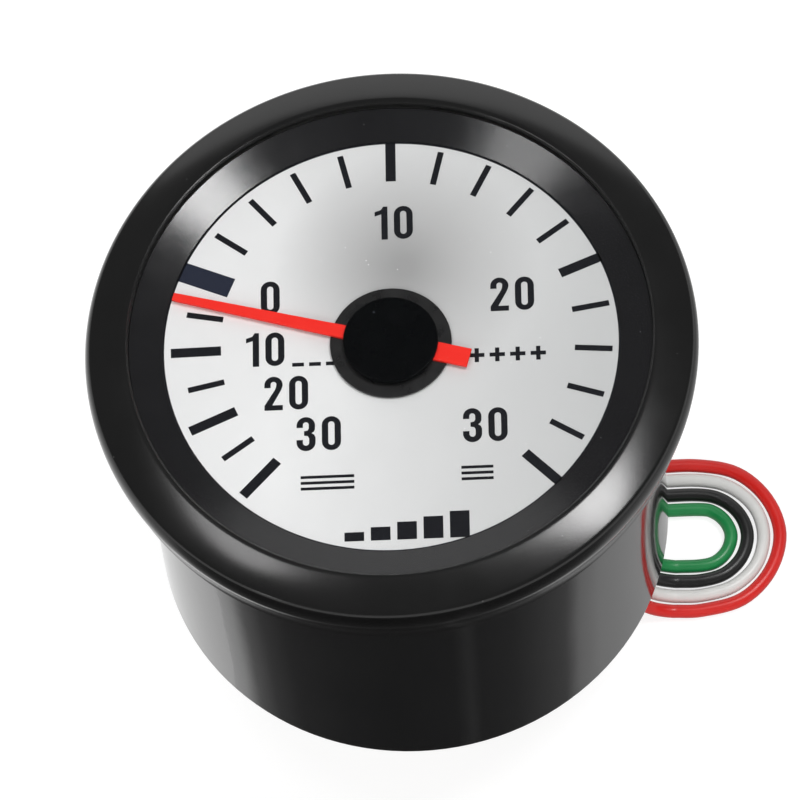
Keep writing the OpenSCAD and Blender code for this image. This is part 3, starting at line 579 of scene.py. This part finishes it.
def printed(name, outlines, look="ink_and_shadow_black"):
    """Flat ink with closed outlines in millimetres. An outline inside another is a hole."""
    data = bpy.data.curves.new(name, "CURVE")
    data.dimensions = "2D"
    data.fill_mode = "BOTH"
    data.extrude = INK * MM / 2
    for outline in outlines:
        spline = data.splines.new("POLY")
        spline.points.add(len(outline) - 1)
        for point, (x, y) in zip(spline.points, outline):
            point.co = (x * MM, y * MM, 0, 1)
        spline.use_cyclic_u = True
    flat = bpy.data.objects.new(name + "_outline", data)
    scene.collection.objects.link(flat)
    bpy.context.view_layer.update()
    mesh = bpy.data.meshes.new_from_object(flat.evaluated_get(bpy.context.evaluated_depsgraph_get()))
    bpy.data.objects.remove(flat)
    mesh.transform(Matrix.Translation((0, 0, FACE_Z + INK * MM / 2)))
    mesh.name = name
    obj = bpy.data.objects.new(name, mesh)
    scene.collection.objects.link(obj)
    dress(obj, look)
    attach(obj, "case")


def mark(angle, r0, r1, width):
    """A straight mark of the scale, from one radius to another."""
    a = math.radians(angle)
    out, side = Vector((math.cos(a), math.sin(a))), Vector((-math.sin(a), math.cos(a))) * width / 2
    mid = Vector((SCALE_X, SCALE_Y))
    return [tuple(mid + out * r0 - side), tuple(mid + out * r1 - side),
            tuple(mid + out * r1 + side), tuple(mid + out * r0 + side)]


# The printed vacuum scale is a little wider than its even division
ZERO_ANGLE, VACUUM_STRETCH = 157.5, 1.033


def vacuum_angle(a):
    return ZERO_ANGLE + (a - ZERO_ANGLE) * VACUUM_STRETCH


MINOR_W, MAJOR_W, ZERO_W = 0.6, 1.0, 2.15
marks = [mark(a, 17.73, 21.41, MINOR_W)
         for a in (144, 130.5, 117, 103.5, 76.5, 63, 49.5, 36, 9, -4.5, -18, -31.5)]
marks += [mark(a, 17.79, r, MAJOR_W) for a, r in ((90, 22.05), (22.5, 22.1), (-45, 22.35))]
marks += [mark(vacuum_angle(a), 16.96, 20.59, MINOR_W) for a in (168.75, 191.25, 213.75)]
marks += [mark(vacuum_angle(a), 16.88, 21.8, MAJOR_W) for a in (180, 202.5, 225)]
printed("scale_marks", marks)
printed("zero_bar", [mark(157.3, 17.2, 22.45, ZERO_W)], "ink_navy")

# Painted shadow: a thin black ring round the dial's edge, where the ring inside the lens meets the dial
printed("painted_shadow_ring", [ring_arc(0, 0, r, 0, 360, 180)[:-1] for r in (22.5, 22.22)])

# Digits: their height, the gap between two, and each one's width and outlines.
# Upright strokes are 0.62 wide and level strokes 0.53
DIGIT_H, DIGIT_GAP = 3.66, 0.62
DIGITS = {
    "0": (1.86, [ring_arc(0.93, 2.73, 0.93, 0, 180) + ring_arc(0.93, 0.93, 0.93, 180, 360),
                 ring_arc(0.93, 2.80, 0.31, 0, 180) + ring_arc(0.93, 0.86, 0.31, 180, 360)]),
    "1": (1.27, [[(0.65, 0), (1.27, 0), (1.27, 3.66), (0.84, 3.66), (0.62, 3.30), (0, 3.08),
                  (0, 2.60), (0.65, 2.82)]]),
    "2": (1.79, [[(0, 0), (1.79, 0), (1.79, 0.55), (0.76, 0.55), (1.60, 2.12)]
                 + ring_arc(0.90, 2.77, 0.89, -20, 180, 14) + [(0, 2.45), (0.62, 2.45)]
                 + ring_arc(0.90, 2.83, 0.28, 180, 0) + [(1.14, 2.50), (1.02, 2.20), (0, 0.52)]]),
    "3": (1.85, [[(0.02, 2.52)] + ring_arc(0.92, 2.76, 0.90, 180, 0, 14)
                 + [(1.80, 2.30), (1.68, 2.05), (1.46, 1.91), (1.72, 1.74), (1.85, 1.45)]
                 + ring_arc(0.925, 0.92, 0.925, 0, -180, 14) + [(0, 1.20), (0.62, 1.20)]
                 + ring_arc(0.925, 0.88, 0.305, -180, 0) + [(1.23, 1.35), (1.10, 1.60), (0.74, 1.66),
                 (0.74, 2.14), (1.08, 2.20), (1.20, 2.42)] + ring_arc(0.92, 2.83, 0.28, 0, 180)
                 + [(0.64, 2.52)]]),
}
NUMBER_SHIFT_X, NUMBER_SHIFT_Y = -0.17, 0.26


def number(text, cx, cy):
    """The outlines of a number, centred on a point of the dial."""
    width = sum(DIGITS[c][0] for c in text) + DIGIT_GAP * (len(text) - 1)
    x, y = cx + NUMBER_SHIFT_X - width / 2, cy + NUMBER_SHIFT_Y - DIGIT_H / 2
    shapes = []
    for c in text:
        wide, outlines = DIGITS[c]
        shapes += [[(x + px, y + py) for px, py in outline] for outline in outlines]
        x += wide + DIGIT_GAP
    return shapes


NUMBERS = (("10", 0.63, 13.13), ("20", 12.11, 4.74), ("30", 9.18, -9.42), ("0", -11.61, 5.33),
           ("10", -12.14, -0.30), ("20", -10.12, -5.14), ("30", -7.00, -9.67))
printed("scale_numbers", [shape for n in NUMBERS for shape in number(*n)])


def bar(cx, cy, width, height):
    x, y = width / 2, height / 2
    return [(cx - x, cy - y), (cx + x, cy - y), (cx + x, cy + y), (cx - x, cy + y)]


def plus(cx, cy, size, stroke):
    a, b = size / 2, stroke / 2
    return [(cx + x, cy + y) for x, y in (
        (-a, -b), (-b, -b), (-b, -a), (b, -a), (b, -b), (a, -b),
        (a, b), (b, b), (b, a), (-b, a), (-b, b), (-a, b))]


# Generic signs where the photograph has words: minus, plus, level bars and rising bars
signs = [bar(-7.46 + 1.65 * k, -1.83, 1.15, 0.4) for k in (-1, 0, 1)]
signs += [plus(11.34 + 2.0 * k, -1.58, 1.5, 0.42) for k in (-1.5, -0.5, 0.5, 1.5)]
signs += [bar(-6.37, -14.71 + 0.62 * k, 5.2, 0.3) for k in (-1, 0, 1)]
signs += [bar(8.16, -14.28 + 0.62 * k, 3.1, 0.3) for k in (-1, 0, 1)]
signs += [bar(1.25 + 2.55 * k, -21.12 + h / 2, 1.9, h)
          for k, h in zip((-2, -1, 0, 1, 2), (0.95, 1.42, 1.89, 2.36, 2.83))]
printed("dial_signs", signs)


# Floor, lamps and world
def light_path_sum(tree, names):
    """1 for rays of any of these kinds."""
    path = tree.nodes.new("ShaderNodeLightPath")
    total = path.outputs[names[0]]
    for name in names[1:]:
        add = tree.nodes.new("ShaderNodeMath")
        add.operation = "MAXIMUM"
        tree.links.new(total, add.inputs[0])
        tree.links.new(path.outputs[name], add.inputs[1])
        total = add.outputs[0]
    return total


SEEN_BY = ("Is Camera Ray", "Is Glossy Ray", "Is Transmission Ray")
# Rings of the floor, flat out to the first and then swept up: radius and height in metres
SWEEP, SWEEP_SIDES = ((0.4, 0), (1.2, 0), (1.6, 0.02), (1.9, 0.12), (2.1, 0.3), (2.2, 0.6)), 96
FLOOR_DROP, CARD_Z = 0.0001, 0.00005
# Greys of the floor where it only lights and where it is seen, and its own glow there
FLOOR_LIT, FLOOR_SEEN, FLOOR_GLOW = 0.75, 0.35, 0.8


def floor():
    """A pale floor that sweeps up all round: white where it is seen, plain where it lights."""
    mat = bpy.data.materials.new("floor_pale")
    mat.use_nodes = True
    tree = mat.node_tree
    tree.nodes.clear()
    out = tree.nodes.new("ShaderNodeOutputMaterial")
    plain = tree.nodes.new("ShaderNodeBsdfDiffuse")
    plain.inputs["Color"].default_value = (FLOOR_LIT, FLOOR_LIT, FLOOR_LIT, 1)
    shade = tree.nodes.new("ShaderNodeBsdfDiffuse")
    shade.inputs["Color"].default_value = (FLOOR_SEEN, FLOOR_SEEN, FLOOR_SEEN, 1)
    glow = tree.nodes.new("ShaderNodeEmission")
    glow.inputs["Strength"].default_value = FLOOR_GLOW
    seen = tree.nodes.new("ShaderNodeAddShader")
    tree.links.new(shade.outputs[0], seen.inputs[0])
    tree.links.new(glow.outputs[0], seen.inputs[1])
    mix = tree.nodes.new("ShaderNodeMixShader")
    tree.links.new(light_path_sum(tree, SEEN_BY), mix.inputs["Fac"])
    tree.links.new(plain.outputs[0], mix.inputs[1])
    tree.links.new(seen.outputs[0], mix.inputs[2])
    tree.links.new(mix.outputs[0], out.inputs["Surface"])
    mesh = bpy.data.meshes.new("floor")
    bm = bmesh.new()
    turns = [math.tau * k / SWEEP_SIDES for k in range(SWEEP_SIDES)]
    rings = [[bm.verts.new((r * math.cos(a), r * math.sin(a), z)) for a in turns] for r, z in SWEEP]
    bm.faces.new(rings[0])
    for a, b in zip(rings, rings[1:]):
        for k in range(SWEEP_SIDES):
            j = (k + 1) % SWEEP_SIDES
            bm.faces.new((a[k], a[j], b[j], b[k]))
    bm.to_mesh(mesh)
    bm.free()
    mesh.materials.append(mat)
    obj = bpy.data.objects.new("floor", mesh)
    scene.collection.objects.link(obj)
    obj.location.z = -FLOOR_DROP


# Dark card on the floor round the case, whose glowing shades are painted reflection: dark where the
# case mirrors shade on the floor, pale where it mirrors lit floor. Angles from +X in degrees, and how
# bright it is there.
# Its shades fan out with the radius, in millimetres, about the middle of its front
CARD_SHADES = ((-149, 0.85), (-144, 0.72), (-139, 0.28), (-132, 0.13), (-124, 0.07), (-110, 0.05),
               (-96, 0.04), (-80, 0.05), (-76, 0.1), (-73, 0.06), (-64, 0.08), (-55, 0.14), (-47, 0.2),
               (-42, 0.5), (-34, 0.62), (-20, 0.6), (-5, 0.55), (20, 0.55), (40, 0.9))
CARD_RADII = (4, 27, 33, 39, 45, 90, 390)
FAN_ANGLE, FAN_SHARE, FAN_FROM, FAN_EVEN, FAN_TO = -90, 0.022, 27, 33, 45


def card():
    """A shaded card by the case, seen only in glossy reflections, as a studio's dark flag is. Its glow
    is painted reflection: shade on the floor where dark, lit floor where pale.
    """
    mat = bpy.data.materials.new("painted_shade_card")
    mat.use_nodes = True
    tree = mat.node_tree
    tree.nodes.clear()
    out = tree.nodes.new("ShaderNodeOutputMaterial")
    glow = tree.nodes.new("ShaderNodeEmission")
    shade = tree.nodes.new("ShaderNodeVertexColor")
    shade.layer_name = "shade"
    tree.links.new(shade.outputs["Color"], glow.inputs["Color"])
    tree.links.new(glow.outputs[0], out.inputs["Surface"])
    mesh = bpy.data.meshes.new("painted_shade_card")
    bm = bmesh.new()
    layer = bm.verts.layers.float_color.new("shade")
    rings = []
    for r in CARD_RADII:
        ring = []
        for angle, grey in CARD_SHADES:
            fan = FAN_SHARE * (max(FAN_FROM, min(r, FAN_TO)) - FAN_EVEN)
            a = math.radians(angle + fan * (angle - FAN_ANGLE))
            v = bm.verts.new((r * MM * math.cos(a), r * MM * math.sin(a), CARD_Z))
            v[layer] = (grey, grey, grey, 1)
            ring.append(v)
        rings.append(ring)
    for a, b in zip(rings, rings[1:]):
        for k in range(len(CARD_SHADES) - 1):
            bm.faces.new((a[k], b[k], b[k + 1], a[k + 1]))
    bm.to_mesh(mesh)
    bm.free()
    mesh.materials.append(mat)
    obj = bpy.data.objects.new("painted_shade_card", mesh)
    scene.collection.objects.link(obj)
    obj.visible_camera = obj.visible_diffuse = obj.visible_transmission = obj.visible_shadow = False


floor()
card()


def lamp(name, azimuth, elevation, distance, width, height, power, lean=0, glare=True):
    """A soft box that looks at the gauge. Azimuth is from -Y towards +X.

    Lean turns its top towards a larger azimuth. Without glare it lights, and shows in no gloss.
    """
    data = bpy.data.lights.new(name, "AREA")
    data.shape = "ELLIPSE"
    data.size, data.size_y = width, height
    data.energy = power
    obj = bpy.data.objects.new(name, data)
    az, el = math.radians(azimuth), math.radians(elevation)
    way = Vector((math.sin(az) * math.cos(el), -math.cos(az) * math.cos(el), math.sin(el)))
    obj.location = CAM_TARGET + distance * way
    faced = way.to_track_quat("Z", "Y").to_matrix()
    obj.rotation_euler = (faced @ Matrix.Rotation(-math.radians(lean), 3, "Z")).to_euler()
    obj.visible_camera = False
    obj.visible_glossy = glare
    scene.collection.objects.link(obj)


lamp("lamp_right", 104, 69.3, 1.0, 0.16, 0.5, 4.3, lean=56)
lamp("lamp_left", -107, 71.5, 1.0, 0.34, 0.2, 1.2)
lamp("lamp_low", -38, 12, 1.0, 0.12, 0.12, 0.15)
lamp("lamp_front", -10, 42, 1.2, 1.8, 1.2, 9.0, glare=False)
lamp("lamp_back", 180, 26, 1.2, 1.3, 0.5, 1.7)


SKY_STRENGTH = 0.22


def sky():
    world = bpy.data.worlds.new("sky")
    scene.world = world
    world.use_nodes = True
    back = world.node_tree.nodes["Background"]
    back.inputs["Color"].default_value = (1, 1, 1, 1)
    back.inputs["Strength"].default_value = SKY_STRENGTH


sky()
scene.view_settings.view_transform = "Standard"

bpy.context.view_layer.update()
